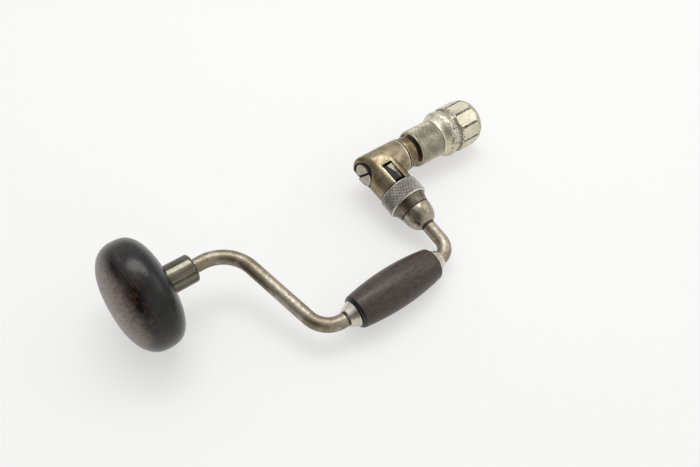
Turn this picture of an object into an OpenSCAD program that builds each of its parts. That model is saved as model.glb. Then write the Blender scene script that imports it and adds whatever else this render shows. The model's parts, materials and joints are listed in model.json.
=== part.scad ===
// Bit brace: a wooden head on a bearing, a bent crank with a turning handle,
// a ratchet with two pawls and a shifter ring, and a two-jaw chuck that a screwed shell closes.
// The brace is drawn with its main axis along X, the head at the negative end and the arm towards
// negative Y, and is then laid on a table, where the head, the handle and the nose touch.

/* [Crank bar] */
// Diameter of the round bar that the crank is bent from
bar_d = 11; // [9:0.1:13]
// Sweep radius, from the main axis to the handle's axis
sweep_r = 91.7; // [85:0.1:160]
// Distance that the slanted leg runs along the main axis
leg_slant = 20; // [0:0.5:40]
// Bend radius behind the quill, at the bar's centre
rear_bend = 28.3; // [15:0.1:40]
// Bend radius between the slanted leg and the handle, at the bar's centre
leg_bend = 19.6; // [12:0.1:30]
// Bend radius between the handle and the arm, at the bar's centre
arm_bend = 12; // [8:0.1:20]
// Length of straight bar between the rear bend and the quill
rear_bare = 6.4; // [1:0.1:30]

/* [Wooden head] */
// Diameter of the head
head_d = 82.8; // [70:0.1:100]
// Height of the face that the palm rests on, above the widest circle
head_front = 22.7; // [18:0.1:28]
// Depth of the back of the head, below the widest circle
head_back = 20; // [18:0.1:28]
// Fullness of the face, where 2 is an ellipse
head_front_power = 2.43; // [2:0.01:3]
// Fullness of the back, where 2 is an ellipse
head_back_power = 2.69; // [2:0.01:3]

/* [Quill and head bearing] */
// Outer diameter of the steel quill
quill_d = 21.6; // [20.6:0.1:26]
// Length of quill that stands out of the head
quill_out = 19.9; // [14:0.1:40]
// Rounding of the quill's open end
quill_edge = 2.5; // [0.5:0.1:3.5]
// Depth of the bearing's balls inside the head's back
ball_depth = 5.2; // [4:0.1:9]
// Radius of the bearing's balls
thrust_ball_r = 1.6; // [1.2:0.05:1.7]
// Radius of the circle that the balls run on
thrust_ball_circle = 5.8; // [5.6:0.05:6]
// Number of balls in the head bearing
thrust_ball_count = 10; // [6:1:10]
// Length of the cone that is pressed on the bar's end
cone_len = 6.3; // [4:0.1:8]
// Radius of the stud at the bar's end
stud_r = 3.6; // [2.5:0.1:3.8]
// Thickness of the cup that closes the quill
cup_len = 6; // [4:0.1:8]
// Wall of the quill round the bearing
quill_wall = 2.2; // [1.6:0.1:2.4]

/* [Handle and ferrules] */
// Length of the wooden handle
handle_len = 74.8; // [60:0.1:120]
// Diameter of the handle at its middle
handle_d = 31.7; // [28:0.1:36]
// Diameter of the handle before its rounded ends
handle_end_d = 25.8; // [24:0.1:28]
// Rounding of the handle's ends
handle_edge = 2.8; // [1:0.1:2.9]
// Length of each conical ferrule
ferrule_len = 7; // [4:0.1:12]
// Diameter of a ferrule against the handle
ferrule_big_d = 20; // [16:0.1:20]
// Diameter of a ferrule against the bare bar
ferrule_small_d = 13.5; // [13.2:0.1:15]
// Length of bare bar between the rear ferrule and the leg's bend
ferrule_bare = 2.8; // [0.2:0.1:10]

/* [Ratchet box] */
// Diameter of the box's barrel
barrel_d = 29.1; // [28.6:0.1:34]
// Diameter of the box's round flank about the arm, at the main axis
flank_d = 32.6; // [31.6:0.1:34]
// Diameter of that flank under the shifter ring
flank_low_d = 31.1; // [30:0.1:32]
// Reach of the barrel from the arm's axis towards the chuck
barrel_front = 22.8; // [18:0.1:30]
// Rounding of the barrel's rear end
barrel_edge = 4.2; // [1:0.1:4.6]
// Thickness of the neck between its two flats
neck_thick = 28.7; // [28.2:0.1:29]
// Distance from the main axis to the shoulder under the shifter ring
neck_len = 25.6; // [25:0.1:30]
// Diameter of the spigot that the shifter ring turns on
spigot_d = 24.2; // [24:0.1:24.6]
// Diameter of the pin through the arm
arm_pin_d = 4; // [2:0.1:5]
// Depth of the arm's socket, short of the box's shoulder
arm_socket_over = 1.6; // [0:0.1:3]

/* [Shifter ring and bell] */
// Diameter of the knurled band
ring_d = 33.1; // [32.4:0.1:38]
// Width of the knurled band
ring_w = 14.7; // [14:0.1:20]
// Depth of the step from the knurled band to the skirt
ring_step = 1.7; // [0.5:0.1:2]
// Length of the conical skirt
skirt_len = 7.7; // [5:0.1:12]
// Diameter of the skirt's and the bell's meeting edge
seam_d = 25.3; // [25.2:0.1:27]
// Depth of the small notch in the skirt's edge
skirt_notch = 1.6; // [0.5:0.1:3]
// Length that the bell's curve would need to close
bell_len = 16.6; // [12:0.1:22]
// Fullness of the bell, where 2 is an ellipse
bell_power = 2.3; // [2:0.01:3]
// Diameter of the bell's end round the bar
bell_end_d = 13; // [12.6:0.1:16]
// Diameter of the pin through the bell
bell_pin_d = 2.4; // [1.5:0.1:3]
// Distance of that pin from the bell's seam
bell_pin_at = 8.3; // [4:0.1:9]
// Angle of that pin round the arm, from the main axis
bell_pin_angle = 94; // [0:1:180]

/* [Ratchet] */
// Radius over the ratchet wheel's teeth
wheel_r = 11.2; // [10.8:0.05:11.3]
// Number of teeth
tooth_count = 12; // [12:12:24]
// Radius of each notch between the teeth
notch_r = 2.2; // [1.9:0.05:2.3]
// Half the width of the wheel
wheel_half = 4.9; // [4:0.1:5]
// Half the width of each pawl
pawl_half = 4.7; // [3.5:0.1:4.7]
// Height of the pawls' lower face over the main axis
pawl_low = 8.7; // [8.6:0.05:9]
// Height of the crest on each pawl's top over the main axis
pawl_top = 15.1; // [13.5:0.1:15.4]
// Radius of a pawl's nose
pawl_nose_r = 0.9; // [0.6:0.05:1]
// Distance of a pawl's nose from the main axis, along the arm
pawl_nose_at = 6.9; // [6.8:0.05:7]
// Distance that each pawl moves to either side
pawl_travel = 1.5; // [1.2:0.05:1.6]
// Turn of the shifter ring that moves the pawls that far
shift_turn = 30; // [25:1:35]
// Radius of the lug on each pawl's tail
lug_r = 0.9; // [0.6:0.05:1]
// Distance of the lug's middle from the arm's axis
lug_at = 12.9; // [12.8:0.05:13]
// Half the width of a pawl's tail
tail_half = 2.9; // [1.5:0.1:3.5]
// Height of a pawl's tail
tail_thick = 2.2; // [1.5:0.1:2.4]
// Radius of each pawl spring
pawl_spring_r = 0.8; // [0.6:0.05:0.9]
// Wire radius of each pawl spring
pawl_wire_r = 0.28; // [0.2:0.01:0.3]
// Turns of each pawl spring
pawl_spring_turns = 5; // [3:1:5]
// Length of each pawl spring
pawl_spring_len = 5.6; // [5:0.1:7]

/* [Spindle] */
// Diameter of the journal in the box's front bore
journal_d = 23.1; // [22.9:0.1:23.3]
// Diameter of the rear journal and of the wheel's seat
seat_d = 14; // [13:0.1:14.4]
// Wall of the box behind the ratchet wheel
rear_wall = 3.3; // [2:0.1:4]
// Diameter of the end screw's head
screw_head_d = 19.2; // [17:0.1:20]
// Depth of the end screw's face under the crest of the box's flank
screw_sunk = 0.7; // [0:0.1:3]
// Diameter of the end screw's shank
screw_d = 8; // [5:0.1:9]
// Length of the end screw's shank
screw_len = 14; // [8:0.5:20]
// Width of the end screw's slot
slot_w = 1.9; // [0.8:0.1:2.5]
// Depth of the end screw's slot
slot_depth = 2.2; // [1:0.1:2.5]
// Angle of that slot round the main axis
slot_angle = 120; // [0:1:180]
// Width of the groove between the box and the washer's rim
washer_groove = 1.3; // [0.8:0.1:2]
// Thickness of the washer's rim
washer_t = 1; // [0.6:0.1:2]
// Diameter of the washer's hub, at the bottom of that groove
washer_hub_d = 25.8; // [24.6:0.1:26.4]
// Diameter of the washer
washer_d = 28.4; // [27.4:0.1:29]
// Diameter of the collar behind the chuck
collar_d = 26.8; // [26:0.1:27.2]
// Length of the collar
collar_len = 7.9; // [6:0.1:14]
// Diameter of the thread that the shell runs on
thread_d = 24; // [23:0.1:24.4]
// Length of that thread
thread_len = 23; // [20:0.1:30]
// Diameter of the spindle's slotted front end
fork_d = 20.6; // [19:0.1:22]
// Length of that front end
fork_len = 10; // [8:0.1:14]
// Width of the slot for the jaws' tails
fork_slot = 10.3; // [10:0.1:11]
// Width of the square socket for a bit's tang
socket_w = 8; // [6.6:0.1:8.2]
// Depth of that socket
socket_len = 20; // [12:0.5:26]

/* [Chuck shell] */
// Diameter of the knurled sleeve
sleeve_d = 31.4; // [30.6:0.1:34]
// Length of the knurled sleeve
sleeve_len = 24.4; // [20:0.1:30]
// Gap between the collar and the sleeve's rear rim
sleeve_gap = 2.5; // [1.6:0.1:5]
// Depth of the recess in the sleeve's rear
sleeve_recess = 3.2; // [2:0.1:6]
// Wall of the sleeve at that recess
sleeve_rim = 1.3; // [0.8:0.1:1.6]
// Length of the sleeve's spigot inside the nose
sleeve_spigot = 6; // [4:0.1:7]
// Diameter of the nose's bore
nose_bore_d = 28.8; // [28:0.1:29.6]
// Diameter of the nose at its rear bulge
bulge_d = 40.4; // [38:0.1:44]
// Length of the nose's rounded rear shoulder
shoulder_len = 9.6; // [6:0.1:12]
// Diameter of the nose where the shoulder starts
shoulder_d = 31.8; // [31.6:0.1:34]
// Length from the bulge to the waist
waist_len = 5.8; // [4:0.1:8]
// Depth of the waist, under the bulge
waist_depth = 1.3; // [0.5:0.1:2]
// Length from the waist to the full facets
flare_len = 3.4; // [2:0.1:6]
// Length of the facets along their edges
facet_len = 16.3; // [12:0.1:22]
// Distance across opposite facets
facet_flats = 39; // [37:0.1:41]
// Diameter over the facets' edges
facet_corners = 40.7; // [40.2:0.1:43]
// Number of facets
facet_count = 10; // [6:1:12]
// Angle of one facet's edge round the main axis
facet_angle = 21; // [0:1:60]
// Length of the rounded front end
nose_round = 7; // [4:0.1:10]
// Diameter of the nose's front face
nose_face_d = 33; // [28:0.1:36]
// Diameter of the mouth
mouth_d = 21.6; // [20.8:0.1:22]

/* [Jaws] */
// Diameter of the shank that the jaws are set on
shank_d = 6.4; // [3:0.1:7]
// Gap between the jaws at that shank
jaw_gap = 0.8; // [0.4:0.1:2]
// Length of each jaw in front of the spindle
jaw_len = 35; // [34:0.1:37]
// Width of each jaw's tail
tail_w = 9.8; // [8:0.1:9.8]
// Height of each jaw's tail
jaw_tail_thick = 4.6; // [3:0.1:5]
// Radius of the jaws where the cone starts
cone_r = 12.6; // [12:0.1:13]
// Length of the cone
cone_run = 12; // [10:0.1:13]
// Slope of the cone
cone_slope = 0.215; // [0.15:0.005:0.25]
// Radius of the jaws' front tips
jaw_tip_r = 8.7; // [7:0.1:9]
// Radius of the balls between the jaw ring and the nose
chuck_ball_r = 1.5; // [1:0.05:1.5]
// Radius of the circle that those balls run on
chuck_ball_circle = 12.6; // [12.4:0.05:12.7]
// Number of those balls
chuck_ball_count = 16; // [8:1:20]
// Radius of each spring between the jaws
jaw_spring_r = 1.5; // [1:0.05:1.6]
// Wire radius of those springs
jaw_wire_r = 0.3; // [0.2:0.01:0.35]
// Turns of those springs
jaw_spring_turns = 5; // [3:1:6]
// Distance of those springs from the main axis
jaw_spring_at = 7.4; // [7.2:0.1:7.6]

/* [Fits] */
// Radial clearance of a running fit
run_fit = 0.06; // [0.03:0.01:0.09]
// Play at the ends of a turning piece
end_play = 0.3; // [0.2:0.05:0.5]
// Clearance on the sides of a sliding piece
slide_fit = 0.15; // [0.1:0.05:0.2]
// Clearance round a ball
ball_fit = 0.05; // [0.03:0.01:0.08]
// Clearance between the jaws and their cone
cone_fit = 0.4; // [0.35:0.05:0.6]

/* [Hidden] */
$fn = 72;
cut = 1;
curve_steps = 14;
edge_steps = 5;

steel_dark = "#4a4540";
steel_brown = "#7a6a50";
steel_grey = "#8d8a84";
steel_bright = "#c9c7c0";
plate_pale = "#d9d4c2";
wood_dark = "#2b2220";
wood_grey = "#4a423f";

// Crank
bar_r = bar_d / 2;
turn = atan2(sweep_r, leg_slant);
rear_run = rear_bend * tan(turn / 2);
leg_run = leg_bend * tan(turn / 2);
front_ferrule_x = -arm_bend;
handle_front_x = front_ferrule_x - ferrule_len - end_play;
handle_rear_x = handle_front_x - handle_len;
rear_ferrule_x = handle_rear_x - end_play - ferrule_len;
leg_corner_x = rear_ferrule_x - ferrule_bare - leg_run;
rear_corner_x = leg_corner_x - leg_slant;
rear_straight_x = rear_corner_x - rear_run;

// Head and its bearing
quill_front_x = rear_straight_x - rear_bare;
head_x = quill_front_x - quill_out - head_back;
ball_x = head_x + head_back - ball_depth;
race_gap = 0.7;
cone_rear_x = ball_x + race_gap;
cone_front_x = cone_rear_x + cone_len;
quill_shoulder_x = cone_front_x + end_play;
cup_front_x = ball_x - race_gap;
cup_rear_x = cup_front_x - cup_len;
quill_bore_r = quill_d / 2 - quill_wall;
cone_outer_r = quill_bore_r - end_play;
stud_end_gap = 0.6;

// Box, ring and bell along the arm, measured from the main axis
ring_top = neck_len + end_play;
ring_low = ring_top + ring_w;
skirt_low = ring_low + skirt_len;
seam = skirt_low + end_play;
bell_end = seam + bell_len * pow(1 - pow(bell_end_d / seam_d, bell_power), 1 / bell_power);
flank_r = flank_d / 2;
function flank(a) = flank_r + (flank_low_d / 2 - flank_r) * a / neck_len;
bore_r = journal_d / 2 + run_fit;
rear_bore_r = seat_d / 2 + run_fit;
spigot_r = spigot_d / 2;
ring_bore_r = spigot_r + run_fit;
arm_top = neck_len - arm_socket_over;
counter_gap = 0.6;
counter_r = screw_head_d / 2 + counter_gap;

// Pawls
slot_floor = pawl_low - slide_fit;
slot_half = pawl_half + slide_fit;
window_over = 1.1;
window_top = pawl_nose_at - pawl_travel + window_over;
pawl_set_back = 2;
pawl_front = pawl_nose_at + pawl_set_back;
pawl_end_gap = 1;
pawl_back = neck_len - pawl_travel - pawl_end_gap;
lug_before_mid = 0.4;
lug_arm = neck_len + ring_w / 2 - lug_before_mid;
tail_over = 1.1;
tail_end = lug_arm + lug_r + tail_over;
spring_gap = 0.2;
spring_top = tail_end + spring_gap;
spring_low = spring_top + pawl_spring_len;
channel_end = spring_low + spring_gap;
channel_half = tail_half + slide_fit;
spring_high = pawl_low + tail_thick / 2;
arm_pin_at = (channel_end + seam) / 2;
swash = atan(pawl_travel / (lug_at * sin(shift_turn)));
groove_play = 0.4;
groove_w = 2 * lug_r + groove_play;
lug_over = 1;
lug_top = lug_at + lug_over;
groove_over = 0.7;
groove_r = lug_top + groove_over;

// Spindle and chuck, along the main axis
wheel_room = end_play + wheel_half;
counter_x = -wheel_room - rear_wall;
screw_face_x = screw_sunk - flank_r;
screw_seat_x = counter_x - end_play;
washer_x = barrel_front + end_play;
rim_x = barrel_front + washer_groove;
collar_x = rim_x + washer_t;
thread_x = collar_x + collar_len;
fork_x = thread_x + thread_len;
fork_end_x = fork_x + fork_len;
sleeve_x = thread_x + sleeve_gap;
sleeve_front_x = sleeve_x + sleeve_len;
nose_gap = 0.2;
nose_x = sleeve_front_x + nose_gap;
bulge_x = nose_x + shoulder_len;
waist_x = bulge_x + waist_len;
facet_x = waist_x + flare_len;
facet_front_x = facet_x + facet_len;
nose_end_x = facet_front_x + nose_round;
thread_bore_r = thread_d / 2 + run_fit;
nose_bore_r = nose_bore_d / 2;

// Jaws, their ring and its balls
jaw_tip_x = fork_end_x + jaw_len;
cone_end_r = cone_r - cone_slope * cone_run;
ring_in_nose = 18;
ring_rear_x = nose_x + ring_in_nose;
ring_front_x = ring_rear_x + cone_run;
chuck_ball_x = ring_front_x + race_gap;
nose_stop_x = chuck_ball_x + race_gap;
jaw_pivot_x = fork_x + fork_len / 2;
jaw_pivot_z = socket_w / 2 + end_play + jaw_tail_thick / 2;
jaw_root_in = 0.5;
jaw_root_r = fork_d / 2 - jaw_root_in;
jaw_spring_out = 6;
jaw_spring_x = fork_end_x + jaw_spring_out;
jaw_spring_len = 9;
pocket_fit = 0.4;

// Outlines are lists of [place along the axis, radius]
function superellipse(power) = [for (i = [0 : curve_steps]) let (t = 90 * i / curve_steps)
    [pow(sin(t), 2 / power), pow(cos(t), 2 / power)]];
function backward(list) = [for (i = [len(list) - 1 : -1 : 0]) list[i]];
function without_first(list) = [for (i = [1 : len(list) - 1]) list[i]];
function rise(u) = (1 - cos(180 * u)) / 2;

head_face = [for (p = superellipse(head_front_power)) [head_x - head_front * p[0], head_d / 2 * p[1]]];
head_rear = [for (p = superellipse(head_back_power)) [head_x + head_back * p[0], head_d / 2 * p[1]]];
head_outline = concat(backward(head_face), without_first(head_rear));

handle_mid_x = (handle_front_x + handle_rear_x) / 2;
function handle_r(x) = handle_d / 2
    - (handle_d - handle_end_d) / 2 * pow((x - handle_mid_x) / (handle_len / 2 - handle_edge), 2);
handle_round = [for (i = [1 : edge_steps]) let (t = 90 * i / edge_steps)
    [handle_edge * (1 - sin(t)), handle_end_d / 2 - handle_edge * (1 - cos(t))]];
handle_outline = concat(
    backward([for (p = handle_round) [handle_rear_x + p[0], p[1]]]),
    [for (i = [0 : curve_steps]) let (x = handle_rear_x + handle_edge
        + (handle_len - 2 * handle_edge) * i / curve_steps) [x, handle_r(x)]],
    [for (p = handle_round) [handle_front_x - p[0], p[1]]]);

tiny = 0.01;
bell_outline = concat([for (p = superellipse(bell_power))
    let (q = [seam + bell_len * p[0], seam_d / 2 * p[1]]) if (q[1] > bell_end_d / 2 + tiny) q],
    [[bell_end, bell_end_d / 2]]);

bulge_r = bulge_d / 2;
waist_r = bulge_r - waist_depth;
corner_r = facet_corners / 2;
shoulder_power = 0.9;
front_start = 0.3;
nose_shoulder = [for (i = [0 : curve_steps]) let (u = i / curve_steps)
    [nose_x + shoulder_len * u, shoulder_d / 2 + (bulge_r - shoulder_d / 2) * pow(rise(u), shoulder_power)]];
nose_waist = [for (i = [1 : edge_steps]) let (u = i / edge_steps)
    [bulge_x + waist_len * u, bulge_r - waist_depth * rise(u)]];
nose_flare = [for (i = [1 : edge_steps]) let (u = i / edge_steps)
    [waist_x + flare_len * u, waist_r + (corner_r - waist_r) * rise(u)]];
nose_front = [for (i = [0 : edge_steps]) let (u = i / edge_steps)
    [facet_front_x + nose_round * u,
        corner_r - (corner_r - nose_face_d / 2) * u * (front_start + (1 - front_start) * u)]];
nose_outline = concat(nose_shoulder, nose_waist, nose_flare, nose_front);

// Rest on a table: the plane that touches the head, the handle and one corner of the nose
corner_half = 180 / facet_count - acos(facet_flats / facet_corners);
nose_corners = [for (i = [0 : facet_count - 1], side = [-1, 1])
    let (t = facet_angle + 360 * i / facet_count + side * corner_half)
    [facet_front_x, corner_r * cos(t), corner_r * sin(t)]];
function lowest(points, n) = let (h = [for (p = points) p * n])
    [for (i = [0 : len(points) - 1]) if (h[i] == min(h)) points[i]][0];
function underside(outline, n, y) = let (k = norm([n[1], n[2]]))
    [for (p = outline) [p[0], y - p[1] * n[1] / k, -p[1] * n[2] / k]];
function touching(n) = [lowest(underside(head_outline, n, 0), n),
    lowest(underside(handle_outline, n, -sweep_r), n), lowest(nose_corners, n)];
function plane_up(c) = let (v = cross(c[2] - c[0], c[1] - c[0]), s = v[2] > 0 ? 1 : -1) s * v / norm(v);
function settle(n, tries) = tries == 0 ? n : settle(plane_up(touching(n)), tries - 1);
function reach(outline, v, y, s) =
    s * max([for (p = outline) s * (p[0] * v[0] + y * v[1]) + p[1] * norm([v[1], v[2]])]);

up = settle([0, 0, 1], 6);
along = let (v = [1, 0, 0] - up[0] * up) v / norm(v);
across = cross(up, along);
mid_x = (reach(head_outline, along, 0, -1) + reach(nose_outline, along, 0, 1)) / 2;
mid_y = (reach(handle_outline, across, -sweep_r, -1) + reach(head_outline, across, 0, 1)) / 2;
lift = -(touching(up)[0] * up);
rest = [concat(along, [-mid_x]), concat(across, [-mid_y]), concat(up, [lift]), [0, 0, 0, 1]];

module laid(tint) color(tint) multmatrix(rest) children();

// A solid turned about the main axis, about the handle's axis or about the arm's axis
module turned(outline) rotate([0, 90, 0]) rotate_extrude() polygon([for (p = outline) [p[1], p[0]]]);
module handle_turned(outline) translate([0, -sweep_r, 0]) turned(outline);
module on_arm() rotate([90, 0, 0]) children();
module arm_turned(outline) on_arm() rotate_extrude() polygon([for (p = outline) [p[1], p[0]]]);

module rod(x0, x1, r) translate([x0, 0, 0]) rotate([0, 90, 0]) cylinder(h = x1 - x0, r = r);
module arm_rod(a0, a1, r) on_arm() translate([0, 0, a0]) cylinder(h = a1 - a0, r = r);
module round_the_axis(count, radius) for (i = [0 : count - 1]) rotate([360 * i / count, 0, 0])
    translate([0, radius, 0]) children();
module race(x, circle_r, r) translate([x, 0, 0]) rotate([0, 90, 0]) rotate_extrude()
    translate([circle_r, 0]) circle(r = r);

// A coil spring along Z, closed by flat ends
coil_rings = 10;
coil_sides = 6;
module coil(r, wire, turns, length) {
    rings = turns * coil_rings;
    rise_each = (length - 2 * wire) / rings;
    slope = atan(rise_each * coil_rings / (2 * PI * r));
    points = [for (i = [0 : rings], j = [0 : coil_sides - 1])
        let (t = 360 * i / coil_rings, b = 360 * j / coil_sides,
            out = r + wire * cos(b), lean = wire * sin(b) * sin(slope))
        [out * cos(t) + lean * sin(t), out * sin(t) - lean * cos(t),
            wire + rise_each * i + wire * sin(b) * cos(slope)]];
    sides = [for (i = [0 : rings - 1], j = [0 : coil_sides - 1], half = [0, 1])
        let (a = i * coil_sides + j, b = i * coil_sides + (j + 1) % coil_sides)
        half == 0 ? [a, a + coil_sides, b] : [b, a + coil_sides, b + coil_sides]];
    first = [for (j = [1 : coil_sides - 2]) [0, j, j + 1]];
    start = rings * coil_sides;
    last = [for (j = [1 : coil_sides - 2]) [start, start + j + 1, start + j]];
    polyhedron(points, concat(sides, first, last));
}

module bend(corner, radius, start, sweep) translate([corner[0], corner[1], 0]) rotate(start)
    rotate_extrude(angle = sweep) translate([radius, 0]) circle(r = bar_r);
module straight(p, q) let (v = q - p) translate([p[0], p[1], 0])
    rotate([0, 90, atan2(v[1], v[0])]) cylinder(h = norm(v), r = bar_r);

// A thin band where a bend meets straight bar, left by the bending tool
band_over = 0.03;
band_r = bar_r + band_over;
band_len = 0.5;
module band(p, v) translate([p[0], p[1], 0]) rotate([0, 90, atan2(v[1], v[0])])
    cylinder(h = band_len, r = band_r, center = true);

module crank_frame() {
    leg = [cos(turn), -sin(turn)];
    main = [1, 0];
    rear_corner = [rear_corner_x, 0];
    leg_corner = [leg_corner_x, -sweep_r];
    laid(steel_brown) difference() {
        union() {
            rod(cone_rear_x + stud_end_gap, cone_front_x, stud_r);
            straight([cone_front_x, 0], [rear_straight_x, 0]);
            bend([rear_straight_x, -rear_bend], rear_bend, 90 - turn, turn);
            straight(rear_corner + rear_run * leg, leg_corner - leg_run * leg);
            bend([leg_corner_x + leg_run, leg_bend - sweep_r], leg_bend, 270 - turn, turn);
            straight([leg_corner_x + leg_run, -sweep_r], [-arm_bend, -sweep_r]);
            bend([-arm_bend, arm_bend - sweep_r], arm_bend, 270, 90);
            straight([0, arm_bend - sweep_r], [0, -arm_top]);
            band([rear_straight_x, 0], main);
            band(rear_corner + rear_run * leg, leg);
            band(leg_corner - leg_run * leg, leg);
            band([leg_corner_x + leg_run, -sweep_r], main);
        }
        arm_pin_solid(2 * spigot_r);
        bell_pin_solid(seam_d);
    }
}

module ferrule(big_x, small_x) handle_turned([[big_x, bar_r], [big_x, ferrule_big_d / 2],
    [small_x, ferrule_small_d / 2], [small_x, bar_r]]);
module handle_ferrule_rear() laid(steel_bright) ferrule(rear_ferrule_x + ferrule_len, rear_ferrule_x);
module handle_ferrule_front() laid(steel_bright) ferrule(front_ferrule_x - ferrule_len, front_ferrule_x);

module sweep_handle() laid(wood_grey) difference() {
    handle_turned(concat(handle_outline, [[handle_front_x, 0], [handle_rear_x, 0]]));
    translate([0, -sweep_r, 0]) rod(handle_rear_x - cut, handle_front_x + cut, bar_r + run_fit);
}

module arm_bell() laid(steel_dark) difference() {
    arm_turned(concat(bell_outline, [[bell_end, bar_r], [seam, bar_r]]));
    bell_pin_solid(seam_d);
}
module bell_pin_solid(length) on_arm() translate([0, 0, seam + bell_pin_at])
    rotate([0, 90, bell_pin_angle]) cylinder(h = length, d = bell_pin_d, center = true);
bell_pin_len = 22;
module bell_pin() laid(steel_grey) bell_pin_solid(bell_pin_len);

module arm_pin_solid(length) translate([0, -arm_pin_at, 0]) rotate([0, 90, 0])
    cylinder(h = length, d = arm_pin_d, center = true);
arm_pin_short = 0.6;
module arm_pin() laid(steel_grey) arm_pin_solid(spigot_d - arm_pin_short);

// Slot in the box for one pawl, its nose, its tail and its spring
nose_high = pawl_low + pawl_nose_r;
nose_room = 0.4;
module pawl_slot() on_arm() {
    deep = barrel_d;
    translate([-slot_half, slot_floor, window_top]) cube([2 * slot_half, deep, neck_len - window_top]);
    translate([-slot_half, slot_floor, pawl_nose_at - pawl_travel - pawl_nose_r - nose_room])
        cube([2 * slot_half, 2 * pawl_nose_r + nose_room + slide_fit, neck_len / 2]);
    translate([-channel_half, slot_floor, neck_len - cut])
        cube([2 * channel_half, deep, channel_end - neck_len + cut]);
}

// The barrel runs to the front, and one round flank about the arm ends its rear and shapes the neck
module flank_solid(a0, a1) on_arm() translate([0, 0, a0])
    cylinder(h = a1 - a0, r1 = flank(a0), r2 = flank(a1));
module barrel() rod(0, barrel_front, barrel_d / 2);
barrel_round = [for (i = [0 : edge_steps]) let (t = 90 - 90 * i / edge_steps)
    [-flank_r + barrel_edge * (1 - sin(t)), barrel_d / 2 - barrel_edge * (1 - cos(t))]];
module neck() intersection() {
    flank_solid(-barrel_d, neck_len);
    union() {
        turned(concat([[-flank_r, 0]], barrel_round, [[cut, barrel_d / 2], [cut, 0]]));
        translate([-flank_d, -neck_len - cut, -neck_thick / 2])
            cube([2 * flank_d, neck_len + cut, neck_thick]);
    }
}
module ratchet_box() laid(steel_brown) difference() {
    union() {
        barrel();
        neck();
        arm_rod(neck_len - cut, seam, spigot_r);
    }
    rod(-wheel_room, barrel_front + cut, bore_r);
    rod(counter_x - cut, cut, rear_bore_r);
    rod(-flank_d, counter_x, counter_r);
    arm_rod(arm_top, seam + cut, bar_r);
    pawl_slot();
    mirror([0, 0, 1]) pawl_slot();
    arm_pin_solid(2 * spigot_d);
}

// One pawl over the main axis, with a nose for the wheel, a tail and a lug for the shifter ring
crest_front = 3;
crest_turn = 13;
crest_tilt = 24;
crest_lean = 18;
crest_lap = 2;
module crest_cut(tilt, side) rotate([0, 0, tilt])
    translate([side < 0 ? crest_lap - barrel_d : -crest_lap, 0, -neck_len])
        cube([barrel_d, barrel_d, 3 * neck_len]);
module pawl() on_arm() {
    head = pawl_back - pawl_front;
    difference() {
        translate([-pawl_half, pawl_low, pawl_front]) cube([2 * pawl_half, pawl_top - pawl_low + cut, head]);
        translate([crest_front, pawl_top, pawl_front]) rotate([0, -crest_turn, 0]) {
            crest_cut(-crest_tilt, 1);
            crest_cut(crest_lean, -1);
        }
    }
    translate([-pawl_half, pawl_low, pawl_nose_at]) cube([2 * pawl_half, 2 * pawl_nose_r, head / 2]);
    translate([-pawl_half, nose_high, pawl_nose_at]) rotate([0, 90, 0])
        cylinder(h = 2 * pawl_half, r = pawl_nose_r);
    translate([-tail_half, pawl_low, pawl_back - head / 2])
        cube([2 * tail_half, tail_thick, tail_end - pawl_back + head / 2]);
    translate([0, pawl_low + tail_thick / 2, lug_arm]) rotate([-90, 0, 0])
        cylinder(h = lug_top - pawl_low - tail_thick / 2, r = lug_r);
}
module pawl_upper() laid(steel_dark) pawl();
module pawl_lower() laid(steel_dark) mirror([0, 0, 1]) pawl();

module pawl_spring() on_arm() translate([0, spring_high, spring_top])
    coil(pawl_spring_r, pawl_wire_r, pawl_spring_turns, pawl_spring_len);
module pawl_spring_upper() laid(steel_grey) pawl_spring();
module pawl_spring_lower() laid(steel_grey) mirror([0, 0, 1]) pawl_spring();

// The groove inside the ring leans, so a turn of the ring moves the two pawls opposite ways
ring_chamfer = 0.6;
notch_angle = -156;
module shifter_ring() laid(steel_grey) difference() {
    arm_turned([[ring_top, ring_bore_r], [ring_top, ring_d / 2 - ring_chamfer],
        [ring_top + ring_chamfer, ring_d / 2], [ring_low - ring_chamfer, ring_d / 2],
        [ring_low, ring_d / 2 - ring_chamfer], [ring_low, ring_d / 2 - ring_step],
        [skirt_low, seam_d / 2], [skirt_low, ring_bore_r]]);
    on_arm() translate([0, 0, lug_arm]) rotate([0, -swash, 0])
        cylinder(h = groove_w, r = groove_r, center = true);
    on_arm() rotate(notch_angle) translate([ring_bore_r - cut, -skirt_notch / 2, skirt_low - skirt_notch])
        cube([ring_d, skirt_notch, skirt_notch + cut]);
}

module wood_head() laid(wood_dark) difference() {
    turned(head_outline);
    rod(cup_rear_x, head_x + head_back + cut, quill_d / 2);
}
module head_quill() laid(steel_dark) turned(concat(
    [[cup_rear_x, quill_bore_r], [cup_rear_x, quill_d / 2]],
    [for (i = [0 : edge_steps]) let (t = 90 * i / edge_steps)
        [quill_front_x - quill_edge * (1 - sin(t)), quill_d / 2 - quill_edge * (1 - cos(t))]],
    [[quill_front_x, bar_r + run_fit], [quill_shoulder_x, bar_r + run_fit],
        [quill_shoulder_x, quill_bore_r]]));
module thrust_race() race(ball_x, thrust_ball_circle, thrust_ball_r + ball_fit);
module thrust_cup() laid(steel_grey) difference() {
    rod(cup_rear_x, cup_front_x, quill_bore_r);
    thrust_race();
}
module thrust_balls() laid(steel_bright) translate([ball_x, 0, 0])
    round_the_axis(thrust_ball_count, thrust_ball_circle) sphere(r = thrust_ball_r);
module thrust_cone() laid(steel_grey) difference() {
    rod(cone_rear_x, cone_front_x, cone_outer_r);
    rod(cone_rear_x - cut, cone_front_x + cut, stud_r);
    thrust_race();
}

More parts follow.
